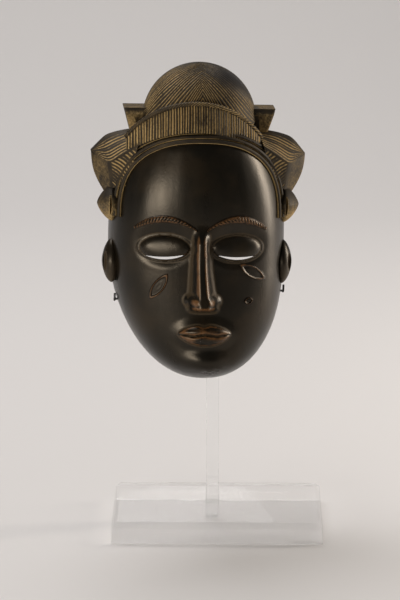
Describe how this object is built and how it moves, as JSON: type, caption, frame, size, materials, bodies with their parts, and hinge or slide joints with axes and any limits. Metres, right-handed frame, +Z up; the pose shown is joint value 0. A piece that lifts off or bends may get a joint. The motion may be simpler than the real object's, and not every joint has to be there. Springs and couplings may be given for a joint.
{
  "type": "carved face mask on a stand",
  "caption": "Carved wooden face mask, hollow behind, with a strand-carved bun and diadem, on a clear square rod and plate with a bent wire bracket",
  "frame": {"origin": "centre of the base's underside", "axes": "+Z up, the face looks to -Y, +X to the viewer's right"},
  "size_m": [0.2202, 0.1319, 0.4449],
  "materials": {
    "patinated_wood": "near black brown polished patina, brown where worn, pale dust in the hair's grooves",
    "black_wire": "thin wire, painted black",
    "clear_acrylic": "clear polished acrylic"
  },
  "bodies": {
    "root": {"mask": "patinated_wood", "wire_bracket": "black_wire", "display_rod": "clear_acrylic", "display_base": "clear_acrylic"}
  },
  "joints": []
}
